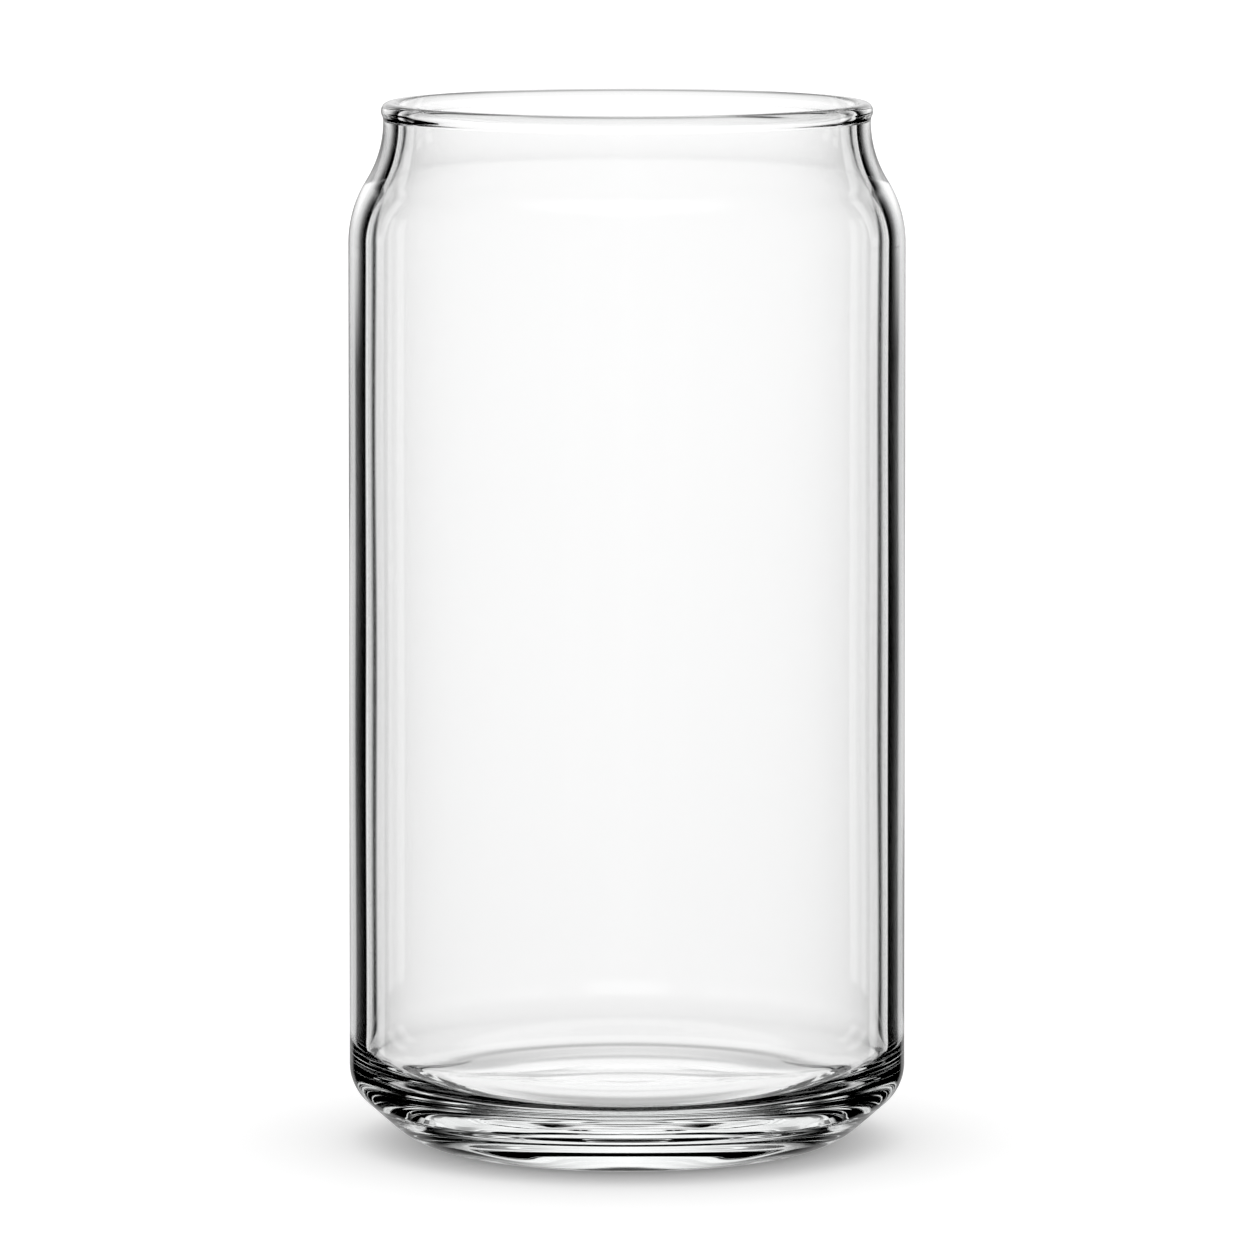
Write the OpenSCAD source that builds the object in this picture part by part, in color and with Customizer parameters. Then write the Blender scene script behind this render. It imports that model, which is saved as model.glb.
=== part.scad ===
// Can shaped drinking glass: one revolved wall of clear glass.
// The frame has its origin at the middle of the foot, with +Z up the axis of the glass.
// The profile is drawn in radius and height, from the middle of the underside,
// out over the foot, up the outside, over the lip, and down the inside to the floor.

/* [Body] */
// Height from the table to the top of the lip
height = 143; // [120:0.5:170]
// Diameter of the body just under the shoulder
body_d = 76; // [60:0.5:95]
// How much the radius grows from the shoulder down to the base
draft = 0.2; // [0:0.05:1]
// Thickness of the side wall
wall = 2.45; // [1.8:0.05:3.5]

/* [Foot] */
// How far the flat ring that the glass stands on lies in from the body's side
foot_in = 13.2; // [11:0.1:16]
// Width of that flat ring
ring_w = 1; // [0.8:0.1:3]
// Radius of the heel, from the ring to the slope
heel_r = 11; // [4:0.5:12]
// Angle of the slope above the table
slope_angle = 41.5; // [32:0.5:52]
// Radius of the corner between the slope and the body
corner_r = 6.2; // [2:0.1:8]
// Depth of the hollow in the underside
punt_h = 0.6; // [0.4:0.1:3]
// Radius that leads from the ring into the hollow
punt_edge_r = 3.6; // [1:0.2:6]

/* [Shoulder and mouth] */
// How far the neck is drawn in from the body, at its narrowest
neck_in = 4.8; // [3.5:0.1:6.5]
// Height of the curve from the body to the neck
shoulder_h = 16.7; // [12:0.1:22]
// Radius of the shoulder, the outward part of that curve
shoulder_r = 16.1; // [10:0.1:20]
// Height of the lip above the narrowest point of the neck
lip_h = 2.5; // [2:0.1:5]
// How far the lip stands out past the neck
lip_out = 0.3; // [0.1:0.05:1]
// How far the lip stands in past the inside of the neck
lip_in = 0.3; // [0.1:0.05:0.8]
// Thickness of the wall at the neck
neck_wall = 2.1; // [1.8:0.05:3]
// Radius that rounds both edges of the lip
lip_r = 1.15; // [0.4:0.05:1.3]

/* [Inside] */
// Thickness of the base, from the table to the middle of the floor
floor_z = 7.5; // [6:0.1:16]
// Radius of the dish that the floor is a part of
dish_r = 1000; // [120:10:2000]
// Radius between the floor and the side wall
fillet_r = 6.4; // [2:0.1:9]

/* [Hidden] */
// Steps of the turned surface and of the profile's arcs, in degrees
$fn = 96;
arc_step = 6;
// Longest straight piece of a very shallow arc
chord = 3.2;

body_r = body_d / 2;
base_r = body_r + draft;
foot_r = base_r - foot_in;
neck_r = body_r - neck_in;
lip_top_r = neck_r + lip_out;
neck_z = height - lip_h;
shoulder_z = neck_z - shoulder_h;

// Angles from one end of an arc to the other, in steps that suit its radius
function steps(from, to, r) =
    let (span = abs(to - from))
    let (n = max(2, ceil(max(span / arc_step, span * PI / 180 * r / chord))))
    [for (i = [0:n]) from + (to - from) * i / n];

// Points of an arc about a centre
function arc(centre, r, from, to) =
    [for (a = steps(from, to, r)) centre + r * [cos(a), sin(a)]];

// Sum of the two radii of an ease between a and b
function ease_sum(a, b) =
    (pow(b.x - a.x, 2) + pow(b.y - a.y, 2)) / (2 * abs(b.x - a.x));

// Two arcs in one smooth run that leaves a and reaches b upright.
// The first has radius r1, and the second takes what is left of the sum.
function ease(a, b, r1) =
    let (r2 = ease_sum(a, b) - r1)
    let (turn = asin(abs(b.y - a.y) / (r1 + r2)))
    let (side = sign(b.x - a.x), up = sign(b.y - a.y))
    concat(
        [for (t = steps(0, turn, r1)) a + r1 * [side * (1 - cos(t)), up * sin(t)]],
        [for (t = steps(turn, 0, r2)) b - r2 * [side * (1 - cos(t)), up * sin(t)]]);

// The same points with radius and height exchanged, for runs that start and end level
function flip(points) = [for (p = points) [p.y, p.x]];

// Points that follow each other at the same place are kept once
function once(points) =
    [for (i = [0:len(points) - 1]) if (i == 0 || norm(points[i] - points[i - 1]) > 0.001) points[i]];

// Underside: a shallow dome that eases down to the inner edge of the foot ring
punt_top = [punt_h, 0];
punt_edge = [0, foot_r - ring_w];
dome_r = ease_sum(punt_top, punt_edge) - punt_edge_r;
underside = flip(ease(punt_top, punt_edge, dome_r));

// Heel, slope and lower corner of the outside
slope_start = [foot_r + heel_r * sin(slope_angle), heel_r * (1 - cos(slope_angle))];
slope_top_z = slope_start.y + (base_r - slope_start.x) * tan(slope_angle);
corner_z = slope_top_z + corner_r * tan((90 - slope_angle) / 2);
heel = arc([foot_r, heel_r], heel_r, -90, slope_angle - 90);
corner = arc([base_r - corner_r, corner_z], corner_r, slope_angle - 90, 0);

// Shoulder and neck, and the flare under the lip.
// The lip's rounding is at most half of the lip's width.
in_neck_r = neck_r - neck_wall;
mouth_r = in_neck_r - lip_in;
lip_round = min(lip_r, (lip_top_r - mouth_r) / 2);
lip_z = height - lip_round;
flare_r = ease_sum([neck_r, neck_z], [lip_top_r, lip_z]) / 2;
shoulder = ease([body_r, shoulder_z], [neck_r, neck_z], shoulder_r);
flare = ease([neck_r, neck_z], [lip_top_r, lip_z], flare_r);

// Lip, with both edges rounded
lip_outer = arc([lip_top_r - lip_round, lip_z], lip_round, 0, 90);
lip_inner = arc([mouth_r + lip_round, lip_z], lip_round, 90, 180);

// Inside of the lip, which is a little thicker than the neck
in_neck = [in_neck_r, neck_z];
in_flare_r = ease_sum([mouth_r, lip_z], in_neck) / 2;
in_flare = ease([mouth_r, lip_z], in_neck, in_flare_r);

// Inside of the neck and shoulder: arcs about the outer ones' centres, set in by the wall
in_shoulder = [body_r - wall, shoulder_z];
in_turn_r = ease_sum(in_neck, in_shoulder) - (shoulder_r - wall);
neck_inside = ease(in_neck, in_shoulder, in_turn_r);

// Inside of the base: a rounded edge that runs into the dished floor
in_base_r = base_r - wall;
edge_r = in_base_r - fillet_r;
edge_z = floor_z + dish_r - sqrt(pow(dish_r - fillet_r, 2) - pow(edge_r, 2));
dish_angle = asin(edge_r / (dish_r - fillet_r));
floor_edge = arc([edge_r, edge_z], fillet_r, 0, dish_angle - 90);
floor_dish = arc([0, floor_z + dish_r], dish_r, dish_angle - 90, -90);

profile = once(concat(
    underside, heel, corner, shoulder, flare, lip_outer,
    lip_inner, in_flare, neck_inside, floor_edge, floor_dish));

module glass() {
    color([0.86, 0.92, 0.91, 0.45])
        rotate_extrude()
            polygon(profile);
}

glass();
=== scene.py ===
# %% [markdown]
# # A can shaped drinking glass
# This lesson dresses one clear glass and photographs it on a white table.
# A clear glass has no colour of its own, so it is drawn by what it bends and mirrors.
# That makes three things matter: an exact wall, a pure material, and a studio
# that has white and black in the right places around the glass.

# %% Load the frame
import math

import bpy
import numpy as np
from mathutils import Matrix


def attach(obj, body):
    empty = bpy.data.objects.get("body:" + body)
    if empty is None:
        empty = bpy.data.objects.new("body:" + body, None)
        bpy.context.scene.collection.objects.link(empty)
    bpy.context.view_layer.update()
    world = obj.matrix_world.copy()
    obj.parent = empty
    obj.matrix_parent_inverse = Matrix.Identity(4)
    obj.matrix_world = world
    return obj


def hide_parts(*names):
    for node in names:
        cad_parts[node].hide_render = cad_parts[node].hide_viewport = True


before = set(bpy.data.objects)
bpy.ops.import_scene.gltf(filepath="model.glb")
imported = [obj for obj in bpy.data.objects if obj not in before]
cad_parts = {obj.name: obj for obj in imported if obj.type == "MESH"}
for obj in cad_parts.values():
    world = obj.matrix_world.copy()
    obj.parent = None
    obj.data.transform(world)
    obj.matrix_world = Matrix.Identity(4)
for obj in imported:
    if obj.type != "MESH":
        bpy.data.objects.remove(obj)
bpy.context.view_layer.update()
MM = 0.001

# %% [markdown]
# ## The camera
# A product photographer stands well back with a long lens, so that the rim and the
# foot are nearly the same width. The camera here is 1.2 m away and looks down by
# less than 7 degrees: the rim is a thin ellipse, and the foot a rounder one.

# %% Camera
CAMERA_BACK = 1.229
CAMERA_HEIGHT = 0.2154
LOOK_DOWN = math.radians(6.70)
LENS_MM = 259.2

camera_data = bpy.data.cameras.new("camera")
camera_data.sensor_width = 36
camera_data.lens = LENS_MM
camera_data.clip_start = 0.05
camera_data.clip_end = 60
camera = bpy.data.objects.new("camera", camera_data)
camera.location = (0, -CAMERA_BACK, CAMERA_HEIGHT)
camera.rotation_euler = (math.pi / 2 - LOOK_DOWN, 0, 0)
bpy.context.scene.collection.objects.link(camera)
bpy.context.scene.camera = camera
print("camera, m:", [round(v, 4) for v in camera.location], "looks down by, degrees:",
      round(math.degrees(LOOK_DOWN), 2))

# %% [markdown]
# ## The section of the wall
# The glass is turned about its axis, so one section says everything about its form.
# Sizes are in millimetres, as on the maker's drawing, and the same as in the solid model.

# %% Sizes of the section
HEIGHT = 143.0
BODY_R = 38.0
BASE_R = 38.2
WALL = 2.45
FOOT_R = 25.0
RING_W = 1.0
HEEL_R = 11.0
SLOPE = 41.5
CORNER_R = 6.2
PUNT_H = 0.6
PUNT_EDGE_R = 3.6
NECK_R = 33.2
NECK_Z = HEIGHT - 2.5
SHOULDER_Z = NECK_Z - 16.7
SHOULDER_R = 16.1
LIP_OUT = 0.3
NECK_WALL = 2.1
LIP_IN = 0.3
LIP_R = 1.15
FLOOR_Z = 7.5
DISH_R = 1000.0
FILLET_R = 6.4

# %% [markdown]
# ## Arcs that meet smoothly
# A crease in glass shows as a hard line in every reflection. So the section is made
# only of straight runs and arcs that are tangent where they meet.

# %% Arcs and eases
ARC_STEP = 1.6
STEP_MM = 1.8
FINE_MM = 0.45


def arc(centre, radius, start, end, step=STEP_MM):
    """Points at centre + radius * (cos a, sin a), with a running from start to end in degrees."""
    span = abs(end - start)
    count = int(max(3, math.ceil(span / ARC_STEP), math.ceil(math.radians(span) * radius / step)))
    a = np.radians(np.linspace(start, end, count + 1))
    return np.column_stack([centre[0] + radius * np.cos(a), centre[1] + radius * np.sin(a)])


def ease_sum(a, b):
    """Sum of the radii of two arcs that leave a and reach b upright:
    (width^2 + height^2) / (2 width)."""
    width, height = abs(b[0] - a[0]), abs(b[1] - a[1])
    return (width**2 + height**2) / (2 * width)


def ease(a, b, first):
    """Two tangent arcs from a to b. Each leaves its end upright: end + radius * (1 - cos t, sin t)."""
    second = ease_sum(a, b) - first
    turn = math.degrees(math.asin(abs(b[1] - a[1]) / (first + second)))
    side, up = np.sign(b[0] - a[0]), np.sign(b[1] - a[1])
    one, two = arc((0, 0), first, 0, turn), arc((0, 0), second, turn, 0)
    leave = np.column_stack([a[0] + side * (first - one[:, 0]), a[1] + up * one[:, 1]])
    reach = np.column_stack([b[0] - side * (second - two[:, 0]), b[1] - up * two[:, 1]])
    return np.vstack([leave, reach[1:]])


def straight(a, b, step=STEP_MM):
    """Evenly spaced points from a to b, both ends left out."""
    count = int(math.ceil(math.dist(a, b) / step))
    t = np.linspace(0, 1, count + 1)[1:-1, None]
    return np.array(a) * (1 - t) + np.array(b) * t


# %% [markdown]
# ## Outside and inside
# The outside runs from the middle of the underside over the foot ring, the round heel,
# the slope and the body, then over the shoulder into the neck and round the lip.
# The inside follows the shoulder at the wall's thickness and ends in a dished floor.

# %% Outside of the section
punt_edge = (0, FOOT_R - RING_W)
dome = ease_sum((PUNT_H, 0), punt_edge) - PUNT_EDGE_R
underside = ease((PUNT_H, 0), punt_edge, dome)[:, ::-1]

slope = math.radians(SLOPE)
slope_start = (FOOT_R + HEEL_R * math.sin(slope), HEEL_R * (1 - math.cos(slope)))
slope_top = slope_start[1] + (BASE_R - slope_start[0]) * math.tan(slope)
corner_z = slope_top + CORNER_R * math.tan((math.pi / 2 - slope) / 2)
heel = arc((FOOT_R, HEEL_R), HEEL_R, -90, SLOPE - 90)
corner = arc((BASE_R - CORNER_R, corner_z), CORNER_R, SLOPE - 90, 0)

neck, lip_z = (NECK_R, NECK_Z), HEIGHT - LIP_R
shoulder = ease((BODY_R, SHOULDER_Z), neck, SHOULDER_R)
lip_side = (NECK_R + LIP_OUT, lip_z)
flare = ease(neck, lip_side, ease_sum(neck, lip_side) / 2)
mouth_r = NECK_R - NECK_WALL - LIP_IN
lip_outer = arc((NECK_R + LIP_OUT - LIP_R, lip_z), LIP_R, 0, 90)
lip_inner = arc((mouth_r + LIP_R, lip_z), LIP_R, 90, 180)
print("slope and side meet at, mm:", round(slope_top, 2))
print("the mouth is across, mm:", round(2 * mouth_r, 2))

# %% Inside of the section
in_neck, in_shoulder = (NECK_R - NECK_WALL, NECK_Z), (BODY_R - WALL, SHOULDER_Z)
lip_foot = (mouth_r, lip_z)
in_flare = ease(lip_foot, in_neck, ease_sum(lip_foot, in_neck) / 2)
neck_inside = ease(in_neck, in_shoulder, ease_sum(in_neck, in_shoulder) - (SHOULDER_R - WALL))
edge_r = BASE_R - WALL - FILLET_R
edge_z = FLOOR_Z + DISH_R - math.sqrt((DISH_R - FILLET_R) ** 2 - edge_r**2)
dish_angle = math.degrees(math.asin(edge_r / (DISH_R - FILLET_R)))
floor_edge = arc((edge_r, edge_z), FILLET_R, 0, dish_angle - 90)
floor_dish = arc((0, FLOOR_Z + DISH_R), DISH_R, dish_angle - 90, -90, FINE_MM)
print("the floor rises at its edge by, mm:", round(float(floor_dish[0, 1]) - FLOOR_Z, 2))

# %% The whole section, end to end
PRESSED_UP_TO = 16.0
SAME_POINT = 1e-3

low_wall = (BASE_R - WALL, PRESSED_UP_TO)
runs = [
    underside, heel, straight(heel[-1], corner[0]), corner,
    straight(corner[-1], shoulder[0]), shoulder, flare, lip_outer,
    lip_inner, in_flare, neck_inside, straight(neck_inside[-1], low_wall), [low_wall],
    straight(low_wall, floor_edge[0], FINE_MM), floor_edge, floor_dish,
]
section = np.vstack(runs)
steps = np.linalg.norm(np.diff(section, axis=0), axis=1)
section = section[np.concatenate([[True], steps > SAME_POINT])]
section[0, 0] = section[-1, 0] = 0.0
print("points in the section:", len(section))

# %% [markdown]
# ## Rings in the floor
# The floor is shaped while the glass is soft, and stays a little uneven: shallow rings
# that the eye doesn't see as form. Light crosses the base many times before it leaves,
# so these rings are what breaks its black corners into fine bright lines.

# %% Rings on the inside of the base
RING_MM = 0.05
RING_LENGTH = 7.0
RING_FADE = 4.0


def ringed(points, height, length, up_to):
    """Moves each inside point along its normal by height * sin(2 pi d / length), where d is the
    way along the section from the middle of the floor. The rings fade out below the height up_to."""
    along = np.gradient(points, axis=0)
    normal = np.column_stack([along[:, 1], -along[:, 0]]) / np.linalg.norm(along, axis=1)[:, None]
    way = np.concatenate([[0], np.cumsum(np.linalg.norm(np.diff(points, axis=0), axis=1))])
    inside = np.arange(len(points)) > np.argmax(points[:, 1])
    fade = np.clip((up_to - points[:, 1]) / RING_FADE, 0, 1) * inside
    fade[-1] = 0
    return points + normal * (height * fade * np.sin(2 * math.pi * (way[-1] - way) / length))[:, None]


even = section
section = ringed(even, RING_MM, RING_LENGTH, PRESSED_UP_TO)
print("the rings move the floor by at most, mm:", round(float(np.abs(section - even).max()), 3))

# %% [markdown]
# ## Turning the section
# The wall is a surface of two parameters: the place along the section and the angle
# about the axis. The two ends of the section lie on the axis, so each is one point.
# Machine made glass is never perfect inside: the mould sets the outside, and the inside
# follows with waves of a few hundredths of a millimetre. They bend the dark lines a little.

# %% Surface of revolution with a wavy inside
AROUND = 168
WAVE_MM = 0.03
WAVES_FROM_R, WAVES_FULL_R = 10.0, 30.0


def waves(angle, z):
    """Sum of slow waves round and up the wall, from -1 to 1: cos(k * angle + z / length)."""
    return (
        0.45 * np.cos(2 * angle + z / 31.0 + 0.6)
        + 0.35 * np.cos(3 * angle - z / 17.0 + 2.1)
        + 0.20 * np.cos(5 * angle + z / 9.0 + 4.0)
    )


def turned(points, around, wave, first_inside):
    """Point (r cos a, r sin a, z) for each (r, z) of the section and each angle a.
    Past first_inside, r also gets wave * waves(a, z), which fades out towards the axis.
    The ends are single points on the axis."""
    angle = np.linspace(0, 2 * math.pi, around, endpoint=False)
    ring = points[1:-1]
    r, z, a = ring[:, :1], ring[:, 1:], angle[None, :]
    inside = (np.arange(1, len(points) - 1) > first_inside)[:, None]
    fade = np.clip((r - WAVES_FROM_R) / (WAVES_FULL_R - WAVES_FROM_R), 0, 1) * inside
    r = r + wave * waves(a, z) * fade
    body = np.stack([r * np.cos(a), r * np.sin(a), z + 0 * a], axis=-1).reshape(-1, 3)
    verts = np.vstack([[0, 0, points[0, 1]], body, [0, 0, points[-1, 1]]])
    i, j = np.meshgrid(np.arange(len(ring) - 1), np.arange(around), indexing="ij")
    k = (j + 1) % around
    quads = np.stack([i * around + j, i * around + k, (i + 1) * around + k, (i + 1) * around + j], -1)
    quads = quads.reshape(-1, 4) + 1
    j = np.arange(around)
    k = (j + 1) % around
    last = 1 + (len(ring) - 1) * around
    caps = np.vstack([
        np.column_stack([0 * j, k + 1, j + 1]),
        np.column_stack([last + j, last + k, 0 * j + len(verts) - 1]),
    ])
    return verts, quads, caps


# %% [markdown]
# ## From arrays to a mesh
# Blender takes a whole mesh at once. Shading is smooth everywhere, because the section
# has no crease, and a smooth normal keeps the bent images clean.

# %% Mesh builder
def mesh_object(name, verts, *face_groups):
    """A mesh object at the origin from vertex positions and groups of faces with equal corners."""
    mesh = bpy.data.meshes.new(name)
    faces = [tuple(f) for group in face_groups for f in group.tolist()]
    mesh.from_pydata(verts.tolist(), [], faces)
    mesh.polygons.foreach_set("use_smooth", np.ones(len(mesh.polygons), bool))
    mesh.update()
    made = bpy.data.objects.new(name, mesh)
    bpy.context.scene.collection.objects.link(made)
    return made


# %% The turned glass
RUNS_WITHOUT_WAVES = 9

inside_from = sum(len(run) for run in runs[:RUNS_WITHOUT_WAVES])
verts, quads, caps = turned(section, AROUND, WAVE_MM, inside_from)
glass = mesh_object("turned_glass", verts * MM, quads, caps)
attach(glass, "root")
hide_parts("glass")
print("triangles in the glass:", 2 * len(quads) + len(caps))

# %% [markdown]
# ## Clear glass
# Soda-lime glass has a refractive index of 1.52 and is almost colourless. A trace of iron
# shows only over a long way through the base, so the tint is in the volume and not on the
# surface.

# %% Glass material
GLASS_IOR = 1.52
GLASS_TINT = (0.90, 0.93, 0.92, 1)
TINT_PER_METRE = 6.0


def clear_glass():
    """Refraction with no roughness, and a tint that grows with depth."""
    made = bpy.data.materials.new("clear_glass")
    made.use_nodes = True
    nodes, links = made.node_tree.nodes, made.node_tree.links
    shader = nodes["Principled BSDF"]
    shader.inputs["Base Color"].default_value = (1, 1, 1, 1)
    shader.inputs["Roughness"].default_value = 0.0
    shader.inputs["IOR"].default_value = GLASS_IOR
    shader.inputs["Transmission Weight"].default_value = 1.0
    tint = nodes.new("ShaderNodeVolumeAbsorption")
    tint.inputs["Color"].default_value = GLASS_TINT
    tint.inputs["Density"].default_value = TINT_PER_METRE
    links.new(tint.outputs["Volume"], nodes["Material Output"].inputs["Volume"])
    return made


glass.data.materials.append(clear_glass())
print("index of the glass:", GLASS_IOR, "tint per metre:", TINT_PER_METRE)

# %% [markdown]
# ## Table and background
# Table and background are one white sheet, so the glass seems to stand in light.
# The sheet takes its light from a plain white world, and the glass keeps a part of
# that light off it, close around the foot. The picture was exposed so that only this
# close part stays grey: the camera sees the sheet with a little white added.

# %% White sheet
SHEET_HALF = 8.0
SHEET_WHITE = 0.95
SHEET_LIFT = 0.24


def number(tree, operation, first, second=0.0):
    """One Math node. Each value is a number or a socket, and the result is a socket."""
    made = tree.nodes.new("ShaderNodeMath")
    made.operation = operation
    for socket, value in zip(made.inputs, (first, second)):
        if isinstance(value, (int, float)):
            socket.default_value = value
        else:
            tree.links.new(value, socket)
    return made.outputs[0]


def white_sheet():
    """Matt white, plus a constant white that only camera rays add."""
    made = bpy.data.materials.new("white_sheet")
    made.use_nodes = True
    tree = made.node_tree
    shader = tree.nodes["Principled BSDF"]
    shader.inputs["Base Color"].default_value = (SHEET_WHITE, SHEET_WHITE, SHEET_WHITE, 1)
    shader.inputs["Roughness"].default_value = 1.0
    shader.inputs["Specular IOR Level"].default_value = 0.0
    shader.inputs["Emission Color"].default_value = (1, 1, 1, 1)
    path = tree.nodes.new("ShaderNodeLightPath")
    lift = number(tree, "MULTIPLY", path.outputs["Is Camera Ray"], SHEET_LIFT)
    tree.links.new(lift, shader.inputs["Emission Strength"])
    return made


corners = np.array([[-1, -1, 0], [1, -1, 0], [1, 1, 0], [-1, 1, 0]]) * SHEET_HALF
sheet = mesh_object("white_sheet", corners, np.array([[0, 1, 2, 3]]))
sheet.data.materials.append(white_sheet())
sheet.visible_transmission = False
sheet.visible_glossy = False
print("the sheet is across, m:", 2 * SHEET_HALF)

# %% [markdown]
# ## What the glass sees
# On white, the outline of clear glass would vanish. Photographers leave the room dark
# and light only a narrow sheet behind the glass: the edge of the wall bends the dark
# sides of the room into view, and draws itself as a black line.
# Here the world is that room. Rays that were bent or mirrored by the glass see a white
# window in front, soft at its edges and wider above eye height. Below eye height there
# are windows behind and on both sides too, so the glass has the same outline from every
# side. Bent rays also find narrow windows on the diagonals, which put a thin light line
# inside the dark one. Steep rays see a white ceiling. All other rays see plain white.

# %% White levels, and the windows as (degrees, brightness)
WORLD_WHITE = 1.05
WINDOW_WHITE = 1.17
WINDOW = ((0, 1.0), (8, 0.97), (13, 0.93), (17, 0.85), (19, 0.60), (20.5, 0.20), (22, 0.0))
WIDE = (
    (0, 1.0), (12, 0.97), (20, 0.92), (22, 0.85), (24, 0.70), (25, 0.55), (27, 0.30),
    (29, 0.12), (32, 0.0),
)
WIDE_FROM = ((-90, 0.0), (-4.6, 0.0), (-4.2, 1.0), (90, 1.0))
BESIDE = ((0, 0.0), (60, 0.0), (62, 1.0), (180, 1.0))
SIDES_UP_TO = ((-90, 1.0), (-1, 1.0), (2, 0.0), (90, 0.0))
DIAGONAL = ((0, 0.0), (35.3, 0.0), (36.3, 1.0), (45, 1.0))
DIAGONALS_UP_TO = ((-90, 1.0), (20, 1.0), (24, 0.0), (90, 0.0))
CEILING = ((-90, 0.0), (44, 0.0), (52, 1.0), (90, 1.0))

# %% [markdown]
# ## The lines of the wall
# Light that was only bent, and never mirrored inside, sees the front window with a dark
# slit near its edge: this is the second thin line of the wall. Light that crossed the
# hollow and was mirrored on its way doesn't see a strip of the window beside its middle,
# or it would fill that line with grey. Light that was mirrored many times sees a narrow
# window, which keeps the middle of the dark line black. Images that only the outer face
# mirrors are fainter, except above eye height, where they draw the neck and shoulder.

# %% The windows for bent, crossed and mirrored light
THROUGH = (
    (0, 1.0), (8, 0.96), (13, 0.92), (16, 0.88), (16.4, 0.0), (18, 0.0), (19.5, 0.15),
    (21, 0.35), (23, 0.55), (30, 0.60), (33, 0.0),
)
OFF_MIDDLE = ((0, 0.0), (5, 0.0), (7, 1.0), (15, 1.0), (17, 0.0), (180, 0.0))
DEEP = ((0, 1.0), (10, 0.75), (14, 0.42), (18, 0.22), (20, 0.10), (22, 0.02), (24, 0.0))
LEVEL = ((-90, 0.0), (-14, 0.0), (-12, 1.0), (6, 1.0), (9, 0.0), (90, 0.0))
DIAGONAL_MIRRORED = ((0, 0.0), (35.3, 0.0), (36.3, 1.0), (40, 1.0), (43, 0.2), (45, 0.0))
STEEP_DOWN = ((-90, 1.0), (-14, 1.0), (-12, 0.0), (90, 0.0))
OUTER_IMAGE = (
    (-90, 0.35), (-1.5, 0.35), (1, 0.60), (4, 1.0), (14, 1.0), (20, 0.35), (90, 0.35),
)

# %% [markdown]
# ## What lies below and behind the glass
# The table is a little darker where the glass shades it, which draws the edge of the
# rim and of the floor: this shade is painted into the world's brightness. Light that was
# mirrored inside the glass sees the table only in the windows, and black steeply below,
# a painted shadow where the glass stands on it: this is the black arc at the front of
# the floor. The photographer's side of the room is hung with black cloth. It takes away the
# second images of the windows, which light mirrored once or twice would lay over the
# clear wall as pale stripes.

# %% The table
# Painted shade: the table seen through the glass is darker where the glass shades it.
TOWARDS_TABLE = (
    (-90, 0.85), (-50, 0.85), (-44, 0.60), (-40, 0.42), (-36, 0.40), (-32, 0.60),
    (-28, 0.80), (-20, 0.88), (-10, 0.92), (-7.5, 0.97), (-5, 1.0), (90, 1.0),
)
TABLE = ((-90, 1.0), (-50, 1.0), (-44, 0.0), (90, 0.0))
# Painted shadow: black steeply below, where the glass stands on the table, for mirrored light.
UNDER_GLASS = ((-90, 1.0), (-66, 1.0), (-57, 0.0), (90, 0.0))

# %% [markdown]
# ## Brightness made of nodes
# The world is a network of nodes. A colour ramp turns an angle into a brightness, and
# Math nodes multiply, take away and mix. These few functions write them as formulas.

# %% A brightness that runs from stop to stop
def graded(tree, degrees, stops):
    """Brightness that runs straight from stop to stop. Each stop is (degrees, brightness)."""
    first, last = stops[0][0], stops[-1][0]
    place = number(tree, "DIVIDE", number(tree, "SUBTRACT", degrees, first), last - first)
    ramp = tree.nodes.new("ShaderNodeValToRGB")
    tree.links.new(place, ramp.inputs["Fac"])
    elements = ramp.color_ramp.elements
    elements.remove(elements[1])
    elements[0].position = 0.0
    elements[0].color = (stops[0][1],) * 3 + (1,)
    for angle, white in stops[1:]:
        elements.new((angle - first) / (last - first)).color = (white,) * 3 + (1,)
    return ramp.outputs["Color"]


# %% Products and mixes of brightness
def times(tree, *parts):
    """Product of two or more brightnesses or parts."""
    made = parts[0]
    for part in parts[1:]:
        made = number(tree, "MULTIPLY", made, part)
    return made


def without(tree, bright, part):
    """Brightness left when a part of it, from 0 to 1, is taken away: bright * (1 - part)."""
    return times(tree, bright, number(tree, "SUBTRACT", 1.0, part))


def between(tree, first, second, part):
    """A mix of two brightnesses: first * (1 - part) + second * part."""
    return number(tree, "ADD", without(tree, first, part), times(tree, second, part))


# %% [markdown]
# ## The way and the history of a ray
# A world is looked up by direction. Two angles say where a ray goes: how far it is
# turned from straight ahead, and how much it rises. A ray also knows how often it was
# mirrored, and how many faces of the glass it went through. The fourth face is the far
# side of the far wall, so light that passed it has crossed the hollow.

# %% Angles and history of a ray
FEW_TURNS = 2.5
FACES_BEFORE_LAST = 3.0


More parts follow.
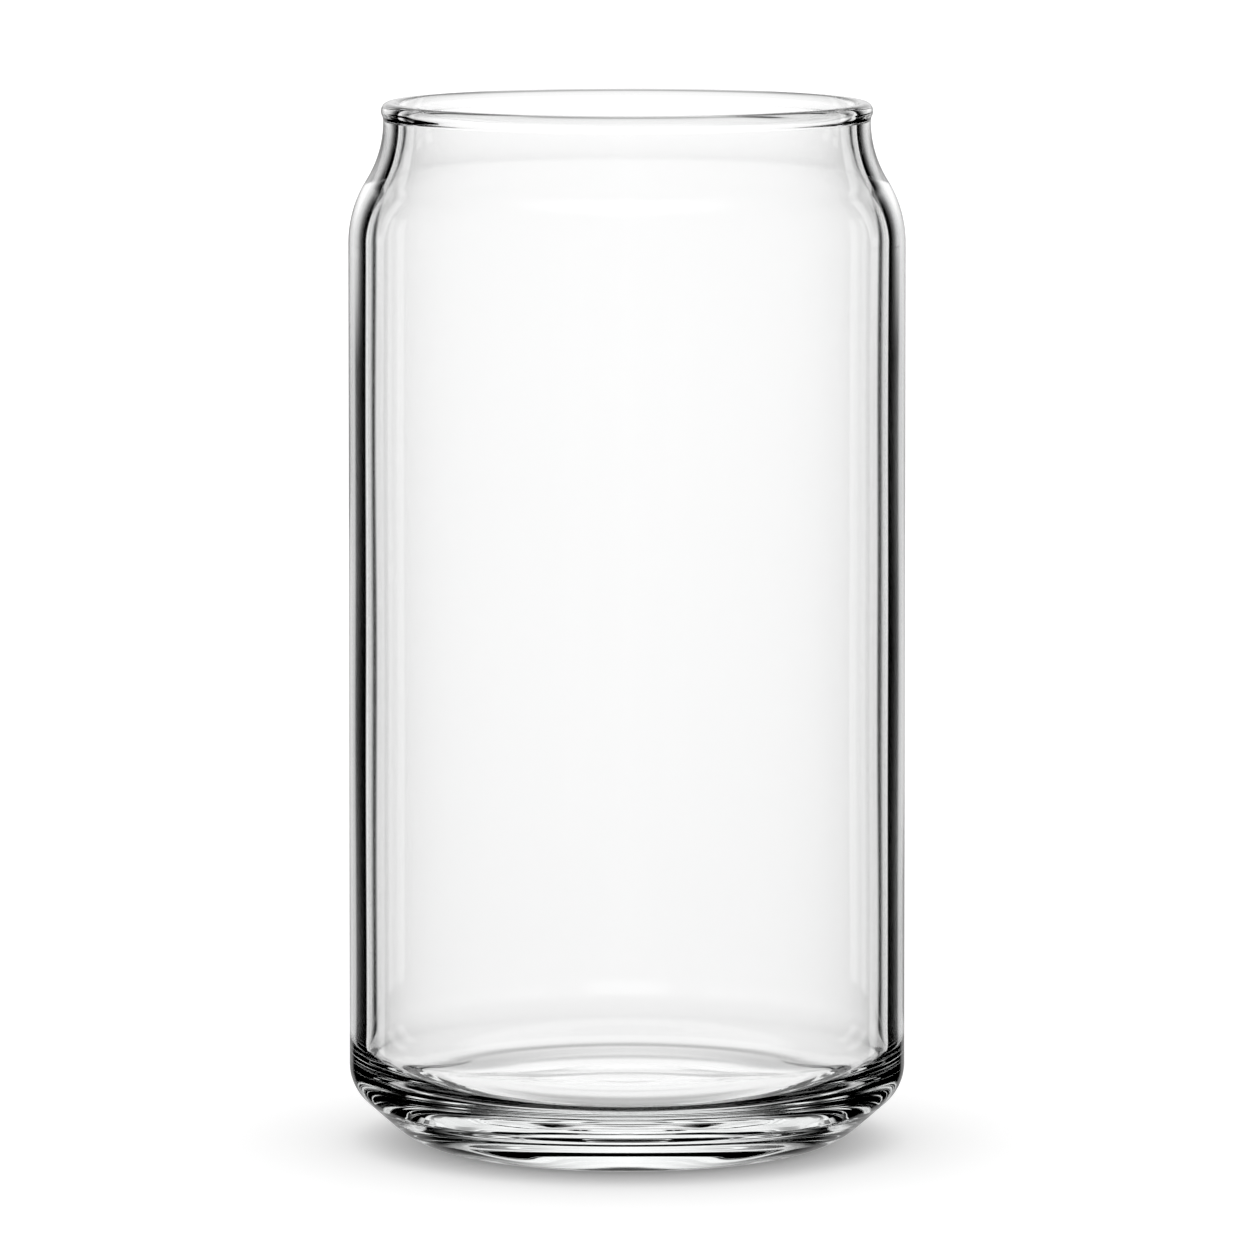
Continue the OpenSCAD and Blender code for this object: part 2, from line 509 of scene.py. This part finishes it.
def ray_facts(tree, path):
    """Angles of the direction (x, y, z) in degrees: behind = |atan2(x, y)|, nearest = the same
    folded to 0 to 45, rise = asin z. The history is 0 or 1 for each of the other facts."""
    place = tree.nodes.new("ShaderNodeTexCoord")
    axes = tree.nodes.new("ShaderNodeSeparateXYZ")
    tree.links.new(place.outputs["Generated"], axes.inputs["Vector"])
    turn = number(tree, "ARCTAN2", axes.outputs["X"], axes.outputs["Y"])
    turns, faces = path.outputs["Glossy Depth"], path.outputs["Transmission Depth"]
    mirrored = number(tree, "MINIMUM", turns, 1.0)
    few = times(tree, mirrored, number(tree, "LESS_THAN", turns, FEW_TURNS))
    return {
        "behind": number(tree, "DEGREES", number(tree, "ABSOLUTE", turn)),
        "nearest": number(tree, "DEGREES", number(tree, "PINGPONG", turn, math.pi / 4)),
        "rise": number(tree, "DEGREES", number(tree, "ARCSINE", axes.outputs["Z"])),
        "bent": path.outputs["Is Transmission Ray"],
        "mirrored": mirrored,
        "few": few,
        "many": number(tree, "GREATER_THAN", turns, FEW_TURNS),
        "crossed": times(tree, few, number(tree, "GREATER_THAN", faces, FACES_BEFORE_LAST)),
    }


# %% The window in front
def front_window(tree, ray):
    """The window straight ahead: one form for light that was only bent, one for light that was
    mirrored, and a narrow one near eye height for light that was mirrored many times."""
    level = graded(tree, ray["rise"], LEVEL)
    narrow, wide, through, deep = (
        graded(tree, ray["behind"], stops + ((180, 0.0),)) for stops in (WINDOW, WIDE, THROUGH, DEEP)
    )
    front = between(tree, narrow, wide, graded(tree, ray["rise"], WIDE_FROM))
    front = between(tree, front, deep, times(tree, ray["many"], level))
    front = between(tree, through, front, ray["mirrored"])
    beside_middle = times(tree, level, graded(tree, ray["behind"], OFF_MIDDLE))
    return without(tree, front, times(tree, ray["crossed"], beside_middle))


# %% The windows around
def windows_around(tree, ray):
    """The windows beside and behind, plus the thin ones on the diagonals. The black cloth takes
    them away from light that was mirrored once or twice and leaves towards it."""
    beside = graded(tree, ray["behind"], BESIDE)
    sides = graded(tree, ray["nearest"], WINDOW + ((45, 0.0),))
    sides = times(tree, sides, graded(tree, ray["rise"], SIDES_UP_TO), beside)
    clear, mirrored = (graded(tree, ray["nearest"], stops) for stops in (DIAGONAL, DIAGONAL_MIRRORED))
    thin = between(tree, clear, mirrored, ray["mirrored"])
    thin = times(tree, thin, graded(tree, ray["rise"], DIAGONALS_UP_TO), ray["bent"])
    thin = without(tree, thin, times(tree, ray["few"], graded(tree, ray["rise"], STEEP_DOWN)))
    return without(tree, number(tree, "ADD", sides, thin), times(tree, ray["few"], beside))


# %% The room as a function of direction
def room_seen(tree, ray):
    """Largest of the windows, the ceiling and the table, less the painted shadow under the glass,
    the painted shade on the table, and what the outer face loses when it mirrors the room."""
    rise, mirrored = ray["rise"], ray["mirrored"]
    table = without(tree, graded(tree, rise, TABLE), mirrored)
    steep = number(tree, "MAXIMUM", table, graded(tree, rise, CEILING))
    seen = number(tree, "MAXIMUM", front_window(tree, ray), windows_around(tree, ray))
    seen = number(tree, "MAXIMUM", seen, steep)
    # Painted shadow under the glass, then painted shade on the table near it.
    seen = without(tree, seen, times(tree, mirrored, graded(tree, rise, UNDER_GLASS)))
    seen = times(tree, seen, graded(tree, rise, TOWARDS_TABLE))
    return times(tree, seen, between(tree, graded(tree, rise, OUTER_IMAGE), 1.0, ray["bent"]))


# %% The world
OFF_TABLE = 0.5


def room(world):
    """The room for rays that the glass bent or mirrored, nothing for light that reaches the
    table through the glass, and plain white for all other rays."""
    world.use_nodes = True
    tree = world.node_tree
    path = tree.nodes.new("ShaderNodeLightPath")
    by_glass = number(
        tree, "MAXIMUM", path.outputs["Is Transmission Ray"], path.outputs["Is Glossy Ray"]
    )
    off_table = number(tree, "LESS_THAN", path.outputs["Diffuse Depth"], OFF_TABLE)
    seen = times(tree, room_seen(tree, ray_facts(tree, path)), off_table, WINDOW_WHITE)
    mix = tree.nodes.new("ShaderNodeMix")
    tree.links.new(by_glass, mix.inputs["Factor"])
    mix.inputs["A"].default_value = WORLD_WHITE
    tree.links.new(seen, mix.inputs["B"])
    background = tree.nodes["Background"]
    tree.links.new(mix.outputs["Result"], background.inputs["Strength"])
    background.inputs["Color"].default_value = (1, 1, 1, 1)


bpy.context.scene.world = bpy.data.worlds.new("room")
room(bpy.context.scene.world)
print("nodes in the room:", len(bpy.context.scene.world.node_tree.nodes))
print("windows fade out at", WINDOW[-1][0], "degrees, the thin ones begin at", DIAGONAL[1][0])

# %% [markdown]
# ## Light that turns many times
# In the thick base, light is turned back by one face after the other before it comes out.
# A path that is cut short counts as black, so the usual four turns would fill the corners
# of the base with solid black. A few more let the room be seen there in bright lines,
# while dark streaks stay between them, as in a real base.

# %% How often light may turn
MIRROR_TURNS = 7
ALL_TURNS = 24

cycles = bpy.context.scene.cycles
cycles.max_bounces = ALL_TURNS
cycles.transmission_bounces = ALL_TURNS
cycles.glossy_bounces = MIRROR_TURNS
print("light may turn", ALL_TURNS, "times in all, and be mirrored", MIRROR_TURNS, "times")

# %% [markdown]
# ## Colour
# The picture keeps the plain Standard view.

# %% View
bpy.context.scene.view_settings.view_transform = "Standard"
